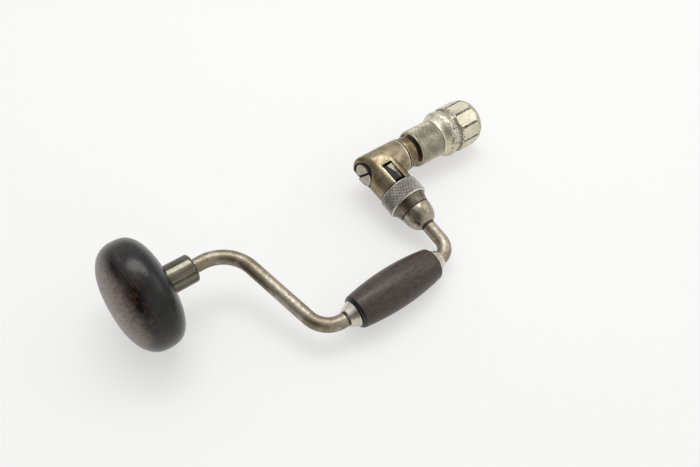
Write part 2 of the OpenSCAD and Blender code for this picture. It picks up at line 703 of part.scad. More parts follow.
// Key between the spindle and the ratchet wheel
key_w = 3;
key_in = 1.4;
key_out = 1.2;
key_turn = 180 / tooth_count;
module key_solid(length) rotate([key_turn, 0, 0])
    translate([-length / 2, seat_d / 2 - key_in, -key_w / 2]) cube([length, key_in + key_out, key_w]);
module wheel_key() laid(steel_grey) key_solid(2 * wheel_half);
module ratchet_wheel() laid(steel_dark) difference() {
    rod(-wheel_half, wheel_half, wheel_r);
    rod(-wheel_half - cut, wheel_half + cut, seat_d / 2);
    round_the_axis(tooth_count, wheel_r) rod(-wheel_half - cut, wheel_half + cut, notch_r);
    key_solid(4 * wheel_half);
}
collar_edge = 0.8;
module spindle() laid(steel_brown) difference() {
    turned([[screw_seat_x, 0], [screw_seat_x, seat_d / 2], [wheel_room, seat_d / 2],
        [wheel_room, journal_d / 2], [collar_x, journal_d / 2], [collar_x, collar_d / 2],
        [thread_x - collar_edge, collar_d / 2], [thread_x, collar_d / 2 - collar_edge],
        [thread_x, thread_d / 2], [fork_x, thread_d / 2], [fork_x, fork_d / 2],
        [fork_end_x, fork_d / 2], [fork_end_x, 0]]);
    rod(screw_seat_x - cut, screw_seat_x + screw_len, screw_d / 2);
    key_solid(2 * wheel_half);
    translate([fork_end_x - socket_len, -socket_w / 2, -socket_w / 2])
        cube([socket_len + cut, socket_w, socket_w]);
    translate([fork_x + end_play, -fork_slot / 2, -fork_d])
        cube([fork_len + cut, fork_slot, 2 * fork_d]);
}
screw_chamfer = 0.5;
module end_screw() laid(steel_grey) difference() {
    turned([[screw_face_x, 0], [screw_face_x, screw_head_d / 2 - screw_chamfer],
        [screw_face_x + screw_chamfer, screw_head_d / 2], [screw_seat_x, screw_head_d / 2],
        [screw_seat_x, screw_d / 2], [screw_seat_x + screw_len, screw_d / 2],
        [screw_seat_x + screw_len, 0]]);
    rotate([slot_angle, 0, 0]) translate([screw_face_x - cut, -screw_head_d, -slot_w / 2])
        cube([slot_depth + cut, 2 * screw_head_d, slot_w]);
}
module spindle_washer() laid(steel_bright) turned([[washer_x, journal_d / 2], [washer_x, washer_hub_d / 2],
    [rim_x, washer_hub_d / 2], [rim_x, washer_d / 2], [collar_x, washer_d / 2], [collar_x, journal_d / 2]]);

sleeve_chamfer = 0.5;
module chuck_sleeve() laid(steel_grey) turned([[sleeve_x, sleeve_d / 2 - sleeve_rim],
    [sleeve_x, sleeve_d / 2 - sleeve_chamfer], [sleeve_x + sleeve_chamfer, sleeve_d / 2],
    [sleeve_front_x - sleeve_chamfer, sleeve_d / 2], [sleeve_front_x, sleeve_d / 2 - sleeve_chamfer],
    [sleeve_front_x, nose_bore_r], [sleeve_front_x + sleeve_spigot, nose_bore_r],
    [sleeve_front_x + sleeve_spigot, thread_bore_r], [sleeve_x + sleeve_recess, thread_bore_r],
    [sleeve_x + sleeve_recess, sleeve_d / 2 - sleeve_rim]]);
module chuck_race() race(chuck_ball_x, chuck_ball_circle, chuck_ball_r + ball_fit);
module chuck_nose() laid(plate_pale) difference() {
    turned(concat(nose_outline, [[nose_end_x, mouth_d / 2], [nose_stop_x, mouth_d / 2],
        [nose_stop_x, nose_bore_r], [nose_x, nose_bore_r]]));
    for (i = [0 : facet_count - 1]) rotate([facet_angle + 360 * (i + 0.5) / facet_count, 0, 0])
        translate([waist_x, facet_flats / 2, -facet_flats / 2])
            cube([nose_end_x - waist_x + cut, facet_flats / 2, facet_flats]);
    chuck_race();
}
module jaw_ring() laid(steel_grey) difference() {
    turned([[ring_rear_x, cone_r], [ring_rear_x, nose_bore_r - run_fit],
        [ring_front_x, nose_bore_r - run_fit], [ring_front_x, cone_end_r]]);
    chuck_race();
}
module chuck_balls() laid(steel_bright) translate([chuck_ball_x, 0, 0])
    round_the_axis(chuck_ball_count, chuck_ball_circle) sphere(r = chuck_ball_r);

// One jaw over the main axis, cut from a turned blank, with a tail in the spindle's slot
function jaw_cone(x) = cone_r - cone_slope * (x - ring_rear_x) - cone_fit;
jaw_root_x = fork_end_x + end_play;
grip_len = 22;
tang_r = 5.6;
jaw_bevel = 1;
flare_x = ring_rear_x - 4;
cone_start_x = ring_rear_x - 1.5;
cone_stop_x = ring_front_x + 1;
tip_start_x = ring_front_x + 4;
module jaw() difference() {
    union() {
        intersection() {
            turned([[jaw_root_x, 0], [jaw_root_x, jaw_root_r], [flare_x, jaw_cone(cone_start_x)],
                [cone_start_x, jaw_cone(cone_start_x)], [cone_stop_x, jaw_cone(cone_stop_x)],
                [tip_start_x, jaw_tip_r], [jaw_tip_x - jaw_bevel, jaw_tip_r],
                [jaw_tip_x, jaw_tip_r - jaw_bevel], [jaw_tip_x, 0]]);
            translate([fork_x, -nose_bore_r, jaw_gap / 2])
                cube([nose_end_x - fork_x, 2 * nose_bore_r, nose_bore_r]);
        }
        translate([fork_x + 2 * end_play, -tail_w / 2, socket_w / 2 + end_play])
            cube([fork_len, tail_w, jaw_tail_thick]);
    }
    rod(jaw_root_x - cut, jaw_tip_x + cut, shank_d / 2);
    rod(jaw_root_x - cut, jaw_tip_x - grip_len, tang_r);
    for (side = [-1, 1]) translate([jaw_spring_x, side * jaw_spring_at, 0])
        cylinder(h = jaw_spring_len / 2 + pocket_fit, r = jaw_spring_r + jaw_wire_r + pocket_fit);
}
module jaw_a() laid(steel_grey) jaw();
module jaw_b() laid(steel_grey) mirror([0, 0, 1]) jaw();
module jaw_springs() laid(steel_bright) for (side = [-1, 1])
    translate([jaw_spring_x, side * jaw_spring_at, -jaw_spring_len / 2])
        coil(jaw_spring_r, jaw_wire_r, jaw_spring_turns, jaw_spring_len);

crank_frame();
handle_ferrule_rear();
handle_ferrule_front();
arm_bell();
bell_pin();
ratchet_box();
arm_pin();
pawl_spring_upper();
pawl_spring_lower();
thrust_cone();
wood_head();
head_quill();
thrust_cup();
thrust_balls();
sweep_handle();
shifter_ring();
pawl_upper();
pawl_lower();
spindle();
ratchet_wheel();
wheel_key();
end_screw();
spindle_washer();
jaw_springs();
jaw_ring();
chuck_balls();
chuck_sleeve();
chuck_nose();
jaw_a();
jaw_b();
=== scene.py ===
import json
import math
import bpy
from mathutils import Matrix, Vector


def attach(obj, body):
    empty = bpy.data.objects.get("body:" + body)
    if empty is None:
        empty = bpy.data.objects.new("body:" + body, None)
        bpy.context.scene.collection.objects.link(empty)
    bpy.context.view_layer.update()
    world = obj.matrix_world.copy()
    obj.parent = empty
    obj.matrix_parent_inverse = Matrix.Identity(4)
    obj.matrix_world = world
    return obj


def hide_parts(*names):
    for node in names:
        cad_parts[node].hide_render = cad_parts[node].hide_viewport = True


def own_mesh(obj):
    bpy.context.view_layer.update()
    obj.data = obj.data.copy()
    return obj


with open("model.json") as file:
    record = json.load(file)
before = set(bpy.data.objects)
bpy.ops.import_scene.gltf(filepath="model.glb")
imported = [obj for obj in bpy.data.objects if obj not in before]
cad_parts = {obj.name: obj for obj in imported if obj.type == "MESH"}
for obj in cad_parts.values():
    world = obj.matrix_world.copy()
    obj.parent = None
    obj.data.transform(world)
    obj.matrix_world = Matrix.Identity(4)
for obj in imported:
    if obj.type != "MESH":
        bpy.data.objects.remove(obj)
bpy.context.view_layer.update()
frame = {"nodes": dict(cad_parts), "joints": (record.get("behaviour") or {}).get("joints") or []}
scene = bpy.context.scene
joints = {j["name"]: j for j in frame["joints"]}
mm = 0.001


# places: every turned piece is drawn in millimetres with its axis along local x
def axisPlace(along, origin, side):
    x = Vector(along).normalized()
    z = (Vector(side) - x * x.dot(Vector(side))).normalized()
    place = Matrix((x, z.cross(x), z)).transposed().to_4x4()
    place.translation = Vector(origin)
    return place @ Matrix.Scale(mm, 4)


boxCentre = Vector(joints["spindle_spin"]["pos_m"])
mainWay = Vector(joints["spindle_spin"]["axis"])
armWay = Vector(joints["shifter_turn"]["axis"])
upWay = armWay.cross(mainWay)
mainPlace = axisPlace(mainWay, boxCentre, upWay)
armPlace = axisPlace(armWay, boxCentre, upWay)
sweep = -(mainPlace.inverted() @ Vector(joints["handle_spin"]["pos_m"])).y
handlePlace = mainPlace @ Matrix.Translation((0, -sweep, 0))


# small helpers for modelling
def clearSelection():
    if bpy.context.object and bpy.context.object.mode != "OBJECT":
        bpy.ops.object.mode_set(mode="OBJECT")
    bpy.ops.object.select_all(action="DESELECT")


def keepPiece(piece, name, place=None, angle=35):
    clearSelection()
    piece.name = name
    piece.data.name = name
    if place is not None:
        piece.data.transform(place)
    piece.select_set(True)
    bpy.context.view_layer.objects.active = piece
    bpy.ops.object.shade_smooth_by_angle(angle=math.radians(angle))
    return piece


def standFor(piece, body, slot, *nodes):
    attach(piece, body)
    if nodes:
        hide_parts(*nodes)
    return piece


mergeWithin = 0.0005  # points of a spun piece this close become one


def startWire(first):
    # a plane merged to one point is the pen that draws an outline
    clearSelection()
    bpy.ops.mesh.primitive_plane_add(size=1, location=(0, 0, 0))
    bpy.ops.object.mode_set(mode="EDIT")
    bpy.ops.mesh.select_mode(type="VERT")
    bpy.ops.mesh.select_all(action="SELECT")
    bpy.ops.mesh.merge(type="CENTER")
    bpy.ops.transform.translate(value=first)
    return bpy.context.object


def closeSkin():
    bpy.ops.mesh.select_all(action="SELECT")
    bpy.ops.mesh.remove_doubles(threshold=mergeWithin)
    bpy.ops.mesh.normals_make_consistent(inside=False)


def spinOutline(name, outline, place, steps=144, angle=35):
    points = [Vector((x, 0, r)) for x, r in outline]
    piece = startWire(points[0])
    for here, there in zip(points, points[1:]):
        bpy.ops.mesh.extrude_vertices_move(TRANSFORM_OT_translate={"value": there - here})
    bpy.ops.mesh.select_all(action="SELECT")
    bpy.ops.mesh.spin(steps=steps, angle=2 * math.pi, center=(0, 0, 0), axis=(1, 0, 0))
    closeSkin()
    return keepPiece(piece, name, place, angle)


softEdge = {"angle": 32, "segments": 2, "merge": 2e-6, "flat": 0.6}


def cadCopy(node, bevel=0.0):
    # a merged copy of the solid's mesh, with its planes dissolved and its sharp edges broken
    clearSelection()
    piece = bpy.data.objects.new(node, frame["nodes"][node].data.copy())
    scene.collection.objects.link(piece)
    piece.select_set(True)
    bpy.context.view_layer.objects.active = piece
    bpy.ops.mesh.customdata_custom_splitnormals_clear()
    bpy.ops.object.mode_set(mode="EDIT")
    bpy.ops.mesh.select_all(action="SELECT")
    bpy.ops.mesh.remove_doubles(threshold=softEdge["merge"])
    if bevel:
        bpy.ops.mesh.dissolve_limited(angle_limit=math.radians(softEdge["flat"]))
    bpy.ops.object.mode_set(mode="OBJECT")
    if bevel:
        edge = piece.modifiers.new("edge", "BEVEL")
        edge.width = bevel * mm
        edge.segments = softEdge["segments"]
        edge.limit_method = "ANGLE"
        edge.angle_limit = math.radians(softEdge["angle"])
        edge.use_clamp_overlap = True
        edge.miter_outer = "MITER_ARC"
        bpy.ops.object.modifier_apply(modifier=edge.name)
    return keepPiece(piece, node + "Skin", None, softEdge["angle"])


def roundedRun(start, length, radius, power, steps):
    # a quarter of a rounded square, from its full radius to its end on the axis
    ts = [math.pi / 2 * i / steps for i in range(steps + 1)]
    bent = [(math.sin(t) ** (2 / power), max(math.cos(t), 0) ** (2 / power)) for t in ts]
    return [(start + length * s, radius * c) for s, c in bent]


def rounded(edge):
    # how far a rounded corner stays back from a sharp one, along the axis and towards it
    quarter = [math.radians(9 * i) for i in range(11)]
    return [(edge * (1 - math.sin(t)), edge * (1 - math.cos(t))) for t in quarter]


# shader maths: Tap wraps one socket, and an expression on taps adds Math nodes
class Tap:
    def __init__(self, tree, socket):
        self.tree = tree
        self.socket = socket

    def node(self, kind, settings, sockets, out=0):
        made = self.tree.nodes.new(kind)
        for key, value in settings.items():
            setattr(made, key, value)
        for key, value in sockets.items():
            if isinstance(value, Tap):
                self.tree.links.new(value.socket, made.inputs[key])
            else:
                made.inputs[key].default_value = value
        return Tap(self.tree, made.outputs[out])

    def maths(self, operation, *values):
        return self.node("ShaderNodeMath", {"operation": operation}, dict(enumerate(values)))

    def __add__(self, other):
        return self.maths("ADD", self, other)

    def __sub__(self, other):
        return self.maths("SUBTRACT", self, other)

    def __mul__(self, other):
        return self.maths("MULTIPLY", self, other)

    def __truediv__(self, other):
        return self.maths("DIVIDE", self, other)

    def __pow__(self, other):
        return self.maths("POWER", self, other)

    def __radd__(self, other):
        return self.maths("ADD", other, self)

    def __rsub__(self, other):
        return self.maths("SUBTRACT", other, self)

    def __rmul__(self, other):
        return self.maths("MULTIPLY", other, self)

    def __rtruediv__(self, other):
        return self.maths("DIVIDE", other, self)


def most(first, second):
    return first.maths("MAXIMUM", first, second)


def amount(tap):
    return tap.maths("ABSOLUTE", tap)


def fromAxis(y, z):
    return (y * y + z * z) ** 0.5


def step(tap, low, high):
    return tap.node("ShaderNodeMapRange", {"interpolation_type": "SMOOTHSTEP"},
                    {"Value": tap, "From Min": low, "From Max": high})


def bandOf(value, low, high, soft):
    return step(value, low - soft, low) * (1 - step(value, high, high + soft))


def blend(share, first, second):
    return share.node("ShaderNodeMix", {"data_type": "RGBA"}, {0: share, 6: first, 7: second}, out=2)


def noise(where, scale, detail=4, rough=0.55, warp=0.0):
    return where.node("ShaderNodeTexNoise", {}, {"Vector": where, "Scale": scale, "Detail": detail,
                      "Roughness": rough, "Distortion": warp})


def stretch(where, x, y, z):
    return where.node("ShaderNodeVectorMath", {"operation": "MULTIPLY"}, {0: where, 1: (x, y, z)})


def parts(where):
    return [where.node("ShaderNodeSeparateXYZ", {}, {0: where}, out=i) for i in range(3)]


def tone(r, g, b):
    return tuple((c / 255) ** 2.2 for c in (r, g, b)) + (1,)


bumpDepth = 0.4 * mm


def finish(name, place, build):
    # build gets the place on the piece in millimetres on its own axis, and gives the surface's values
    look = bpy.data.materials.new(name)
    look.use_nodes = True
    tree = look.node_tree
    surface = tree.nodes["Principled BSDF"]
    coords = Tap(tree, tree.nodes.new("ShaderNodeTexCoord").outputs["Object"])
    back = place.inverted()
    where = coords.node("ShaderNodeMapping", {"vector_type": "POINT"},
                        {"Vector": coords, "Location": back.translation, "Rotation": back.to_euler(),
                         "Scale": back.to_scale()})
    values = build(where)
    height, strength = values.pop("bump")
    values["Normal"] = where.node("ShaderNodeBump", {}, {"Height": height, "Strength": strength,
                                                         "Distance": bumpDepth})
    for key, value in values.items():
        if isinstance(value, Tap):
            tree.links.new(value.socket, surface.inputs[key])
        else:
            surface.inputs[key].default_value = value
    return look


def wear(piece, look):
    piece.data.materials.clear()
    piece.data.materials.append(look)


# finishes
headLook = {"dark": tone(9, 7, 6), "brown": tone(84, 56, 40), "wearAndPaintedLight": tone(180, 160, 146),
            "pore": tone(6, 5, 4), "dent": tone(26, 22, 19), "face": (-217.5, -231.0), "low": (-4.0, -32.0),
            "streak": (-205.0, -216.0), "streakUp": (-6.0, 14.0)}


def headWood(where):
    # nearly black and polished, with fine open pores; the palm's face is painted grey brown, partly for
    # rubbing and partly as a painted reflection of the floor, with less of it towards the bottom
    x, _, z = parts(where)
    grain = noise(stretch(where, 0.5, 0.05, 0.5), 1.0, 5, 0.6, 0.4)
    pores = noise(stretch(where, 2.6, 0.5, 2.6), 1.0, 2, 0.6)
    cloud = noise(where, 0.05, 4, 0.55)
    scuff = noise(where, 0.34, 6, 0.72)
    grit = noise(where, 1.5, 3, 0.65)
    chips = noise(where, 0.42, 2, 0.5)
    # painted reflection: the palm's face takes a grey brown for the floor's sheen as well as for rubbing
    face = step(x + (cloud - 0.5) * 9.0, *headLook["face"])
    face = face * (1 - step(z, *headLook["low"]) * 0.3)
    streaks = step(grain, 0.46, 0.68) * step(x, *headLook["streak"]) * step(z, *headLook["streakUp"])
    rubAndSheen = 0.3 + step(scuff, 0.36, 0.62) * 0.4 + step(grit, 0.4, 0.62) * 0.3
    base = blend(step(scuff, 0.56, 0.74) * 0.5, headLook["dark"], headLook["dent"])
    base = blend(streaks * 0.55, base, headLook["brown"])
    base = blend(face * rubAndSheen, base, headLook["wearAndPaintedLight"])
    base = blend(step(pores, 0.57, 0.68) * (0.6 + face * 0.25), base, headLook["pore"])
    deep = step(pores, 0.55, 0.7)
    rough = 0.19 + step(scuff, 0.4, 0.75) * 0.1 + deep * 0.16 + face * 0.16
    return {"Base Color": base, "Roughness": rough, "Specular IOR Level": 0.4,
            "Coat Weight": 0.05 * (1 - face), "Coat Roughness": 0.2,
            "bump": (scuff * 0.5 - deep * 0.8 - step(chips, 0.7, 0.76) * 1.2, 0.2)}


handleLook = {"dark": tone(48, 36, 30), "pale": tone(90, 75, 64), "pore": tone(24, 18, 15),
              "end": tone(14, 13, 13), "middle": -56.7, "ends": (34.4, 36.2)}


def handleWood(where):
    # fine mottled grain, rubbed paler in patches, with the two rounded ends painted dark as a painted
    # reflection
    x = parts(where)[0]
    grain = noise(stretch(where, 0.22, 0.9, 0.9), 1.0, 6, 0.68, 0.6)
    pores = noise(stretch(where, 0.55, 3.4, 3.4), 1.0, 2, 0.6)
    scuff = noise(where, 0.2, 6, 0.72)
    grit = noise(where, 1.3, 3, 0.6)
    # painted reflection: the rounded ends are painted nearly black and made glossier, for the dark band they
    # reflect
    ends = step(amount(x - handleLook["middle"]), *handleLook["ends"])
    base = blend(step(grain, 0.4, 0.66) * 0.6, handleLook["dark"], handleLook["pale"])
    base = blend(step(scuff, 0.46, 0.7) * (0.2 + step(grit, 0.42, 0.6) * 0.4), base, handleLook["pale"])
    base = blend(step(pores, 0.56, 0.7) * 0.7, base, handleLook["pore"])
    base = blend(ends, base, handleLook["end"])
    rough = 0.3 + step(scuff, 0.4, 0.75) * 0.16 + step(pores, 0.54, 0.7) * 0.14 - ends * 0.08
    return {"Base Color": base, "Roughness": rough, "Specular IOR Level": 0.45,
            "Coat Weight": 0.05, "Coat Roughness": 0.25,
            "bump": (scuff * 0.4 + grit * 0.2 - step(pores, 0.54, 0.72) * 0.5, 0.3)}


def wornSteel(look):
    # bare steel with patina in clouds, dark specks, fine scratches and rubbed places, with painted reflection
    # streaks, painted highlights and painted shade where a look has them
    def build(where):
        cloud = noise(where, look["cloud"], 6, 0.62, 0.4)
        fine = noise(where, look["cloud"] * 7, 5, 0.7)
        specks = noise(where, look["speck"], 3, 0.6)
        scratch = noise(stretch(where, 0.25, 3.2, 3.2), 1.0, 3, 0.65)
        base = blend(step(cloud, 0.36, 0.66), look["bare"], look["brown"])
        base = blend(step(fine, 0.46, 0.74) * look["mottle"], base, look["dark"])
        base = blend(step(specks, 0.63, 0.72) * 0.8, base, look["pitAndShade"])
        rough = look["rough"] + step(fine, 0.35, 0.75) * 0.16 + step(specks, 0.6, 0.72) * 0.2
        rough = rough + (scratch - 0.5) * 0.14
        metal = look["metal"] - step(specks, 0.62, 0.72) * 0.5
        # painted reflection: dark lengthwise streaks stand for the dark bands that a turned piece reflects
        if "streak" in look:
            lengthwiseReflection = noise(stretch(where, 0.012, 0.55, 0.55), 1.0, 3, 0.6)
            base = blend(step(lengthwiseReflection, 0.44, 0.62) * look["streak"], base, look["pitAndShade"])
        # rubbed rims, and painted highlights on edges, are blended towards the bright colour
        if "rubAndHighlight" in look:
            base = blend(look["rubAndHighlight"](where), base, look["shine"])
        # painted shade: the look's shade mask turns the colour dark, rough and less metallic
        if "paintedShade" in look:
            shadeMask = look["paintedShade"](where, fine)
            base = blend(shadeMask, base, look["pitAndShade"])
            rough = rough + shadeMask * 0.4
            metal = metal - shadeMask * 0.8
        return {"Base Color": base, "Roughness": rough, "Metallic": metal,
                "bump": (fine * 0.4 - step(specks, 0.6, 0.75) + scratch * 0.3, look["bump"])}
    return build


# where painted shade, painted highlights and rubbed metal lie, as ranges in millimetres on the piece's own
# axis
barShadeBands = {"ferrule": (-102.6, -101.0), "onHandle": (-80.0, -70.0), "bell": (-65.2, -60.0),
           "onArm": (-9.0, -7.0)}


def barPaintedShade(where, fine):
    # painted shade where the bar enters the rear ferrule and the bell, broken up by noise
    x, y, _ = parts(where)
    atFerrule = bandOf(x, *barShadeBands["ferrule"], 0.5) * (1 - step(y, *barShadeBands["onHandle"]))
    atBell = bandOf(y, *barShadeBands["bell"], 0.7) * step(x, *barShadeBands["onArm"])
    return (atFerrule + atBell) * step(fine, 0.2, 0.5) * 0.9


boxShadeBands = {"screw": (9.0, 10.7), "screwRear": (-8.0, -7.0), "windowWide": (-5.0, 5.0),
           "windowLong": (-26.0, -6.0), "windowSkin": (13.7, 14.2), "ring": (-27.0, -25.2),
           "front": (22.75, 24.3)}


def boxPaintedShade(where, fine):
    # painted shade round the end screw, in the pawl windows, under the shifter ring and at the barrel's front
    x, y, z = parts(where)
    atScrew = bandOf(fromAxis(y, z), *boxShadeBands["screw"], 0.25) * (1 - step(x, *boxShadeBands["screwRear"]))
    inWindow = bandOf(x, *boxShadeBands["windowWide"], 0.2) * bandOf(y, *boxShadeBands["windowLong"], 0.3)
    inWindow = inWindow * (1 - step(amount(z), *boxShadeBands["windowSkin"]))
    underRing = bandOf(y, *boxShadeBands["ring"], 0.5)
    atFront = bandOf(x, *boxShadeBands["front"], 0.05)
    shadedSpots = atScrew + inWindow + underRing + atFront
    return shadedSpots.maths("MINIMUM", shadedSpots, 1.0) * 0.95


boxHighlightBands = {"windowWide": (-5.9, -5.1), "windowLong": (-25.0, -10.0), "windowSkin": (10.0, 11.0),
            "front": (22.1, 22.7)}


def paintedBoxHighlights(where):
    # painted highlights: the barrel's front edge and the windows' rear edges are painted bright
    x, y, z = parts(where)
    byWindow = bandOf(x, *boxHighlightBands["windowWide"], 0.2) * bandOf(y, *boxHighlightBands["windowLong"], 1.0)
    byWindow = byWindow * step(amount(z), *boxHighlightBands["windowSkin"])
    return bandOf(x, *boxHighlightBands["front"], 0.3) * 0.8 + byWindow * 0.7


ringShine = {"near": (25.8, 26.7), "away": (39.8, 40.7), "skin": (15.6, 16.0)}


def ringRub(where):
    # both rims beside the ring's knurl are rubbed bright
    x, y, z = parts(where)
    rims = bandOf(x, *ringShine["near"], 0.1) + bandOf(x, *ringShine["away"], 0.1)
    return rims * step(fromAxis(y, z), *ringShine["skin"]) * 0.85


smallShadeBands = {"groove": (24.0, 24.2), "crest": (-3.6, -2.6), "crestSlant": 0.22, "slot": (-15.2, -14.9),
             "seam": (48.1, 49.1)}


def washerGrooveShade(where, fine):
    # painted shade: the groove behind the washer's rim is painted black
    return 1 - step(parts(where)[0], *smallShadeBands["groove"])


def pawlSlopeShade(where, fine):
    # painted shade: the slope on the box side of the crest is painted black, and the other keeps the steel's
    # colour
    x, y, _ = parts(where)
    return (1 - step(x + y * smallShadeBands["crestSlant"] + (fine - 0.5) * 1.2, *smallShadeBands["crest"])) * 0.92


def screwSlotShade(where, fine):
    # painted shade fills the driving slot and the gap round the head
    return step(parts(where)[0], *smallShadeBands["slot"])


def seamShade(where, fine):
    # a black line of painted shade where the ring's skirt meets the bell
    return bandOf(parts(where)[0], *smallShadeBands["seam"], 0.2) * 0.95


barLook = {"bare": tone(170, 162, 147), "brown": tone(132, 120, 101), "dark": tone(84, 72, 54),
           "pitAndShade": tone(34, 27, 19), "cloud": 0.07, "speck": 1.3, "mottle": 0.55, "rough": 0.34,
           "metal": 0.93, "bump": 0.2, "paintedShade": barPaintedShade}
boxLook = {"bare": tone(160, 148, 124), "brown": tone(126, 109, 82), "dark": tone(92, 77, 54),
           "pitAndShade": tone(26, 20, 14), "cloud": 0.1, "speck": 0.9, "mottle": 0.65, "rough": 0.27,
           "metal": 0.93, "bump": 0.24, "paintedShade": boxPaintedShade, "rubAndHighlight": paintedBoxHighlights, "shine": tone(226, 220, 200)}
collarLook = {"bare": tone(134, 121, 96), "brown": tone(106, 90, 66), "dark": tone(76, 61, 42),
              "pitAndShade": tone(30, 23, 16), "cloud": 0.16, "speck": 1.1, "mottle": 0.6, "rough": 0.3,
              "metal": 0.93, "bump": 0.22}
darkLook = {"bare": tone(138, 130, 114), "brown": tone(104, 94, 79), "dark": tone(56, 48, 38),
            "pitAndShade": tone(20, 15, 11), "cloud": 0.12, "speck": 1.0, "mottle": 0.6, "rough": 0.22,
            "metal": 0.95, "bump": 0.2}
quillLook = {"bare": tone(134, 130, 116), "brown": tone(110, 106, 93), "dark": tone(66, 61, 50),
             "pitAndShade": tone(24, 20, 15), "cloud": 0.06, "speck": 0.9, "mottle": 0.35, "rough": 0.14,
             "metal": 0.97, "bump": 0.08, "streak": 0.6}
pawlLook = {"bare": tone(142, 139, 123), "brown": tone(110, 107, 92), "dark": tone(48, 46, 38),
            "pitAndShade": tone(7, 6, 5), "cloud": 0.2, "speck": 1.0, "mottle": 0.5, "rough": 0.24,
            "metal": 0.94, "bump": 0.18, "paintedShade": pawlSlopeShade}
greyLook = {"bare": tone(196, 190, 173), "brown": tone(170, 163, 144), "dark": tone(92, 85, 70),
            "pitAndShade": tone(34, 28, 22), "cloud": 0.15, "speck": 1.1, "mottle": 0.5, "rough": 0.28,
            "metal": 0.95, "bump": 0.18}
brightLook = {"bare": tone(222, 218, 207), "brown": tone(200, 193, 177), "dark": tone(140, 131, 113),
              "pitAndShade": tone(70, 60, 46), "cloud": 0.14, "speck": 1.2, "mottle": 0.4, "rough": 0.22,
              "metal": 1.0, "bump": 0.12}
bellLook = dict(darkLook, bare=tone(176, 168, 150), brown=tone(128, 117, 99), paintedShade=seamShade)
ringLook = dict(darkLook, bare=tone(134, 125, 111), brown=tone(100, 90, 76), paintedShade=seamShade,
                rubAndHighlight=ringRub, shine=tone(232, 226, 214))
screwLook = dict(greyLook, bare=tone(182, 176, 162), brown=tone(156, 149, 132), pitAndShade=tone(12, 10, 8),
                 paintedShade=screwSlotShade)
washerLook = dict(collarLook, bare=tone(172, 161, 136), brown=tone(148, 135, 108), pitAndShade=tone(8, 6, 5),
                  paintedShade=washerGrooveShade)
ringGrip = {"bare": tone(226, 219, 210), "brown": tone(204, 196, 186), "dark": tone(48, 43, 38),
            "pitAndShade": tone(30, 26, 22)}
sleeveGrip = {"bare": tone(238, 231, 208), "brown": tone(218, 210, 186), "dark": tone(66, 59, 46),
              "pitAndShade": tone(40, 34, 26)}


def knurled(look, radius, depth):
    # dirt stays in the valleys, and the tips are rubbed bright
    def build(where):
        _, y, z = parts(where)
        cloud = noise(where, 0.12, 5, 0.6)
        fine = noise(where, 0.9, 4, 0.6)
        tip = step((fromAxis(y, z) - radius) / depth, 0.05, 0.75)
        base = blend(tip, look["dark"], look["brown"])
        base = blend(step(cloud, 0.36, 0.64) * tip, base, look["bare"])
        base = blend(step(fine, 0.62, 0.76) * 0.6, base, look["pitAndShade"])
        return {"Base Color": base, "Roughness": 0.46 - tip * 0.16 + fine * 0.1,
                "Metallic": 0.6 + tip * 0.38, "bump": (fine, 0.15)}
    return build


# sizes of the chuck nose, for its plating here and its shape below
nose = {"rear": 60.1, "bulge": 69.7, "waist": 75.5, "facets": 78.9, "front": 95.2, "end": 102.2,
        "shoulderR": 15.9, "shoulderPower": 0.9, "bulgeR": 20.2, "waistR": 18.9, "cornerR": 20.35,
        "faceR": 16.5, "flats": 19.5, "mouthR": 10.8, "mouthEdge": 0.6, "stop": 91.5, "boreR": 14.4,
        "count": 10, "firstEdge": 21.0, "soft": 16.0, "pressFrom": 73.5, "pressR": 15.4,
        "steps": 360, "angle": 22}
noseShare = 2 * math.pi / nose["count"]
noseRise = nose["cornerR"] - nose["waistR"]
noseDrop = nose["cornerR"] - nose["faceR"]
noseLook = {"plate": tone(222, 216, 196), "warm": tone(204, 196, 170), "dull": tone(168, 157, 129),
            "pitAndShade": tone(42, 34, 24), "dome": tone(182, 176, 152), "eaten": (66.0, 79.0), "skin": (14.6, 15.2),
            "lineFrom": (75.9, 76.7), "valley": (75.2, 76.7)}


def domeFall(u):
    return u * 0.3 + u * u * 0.7


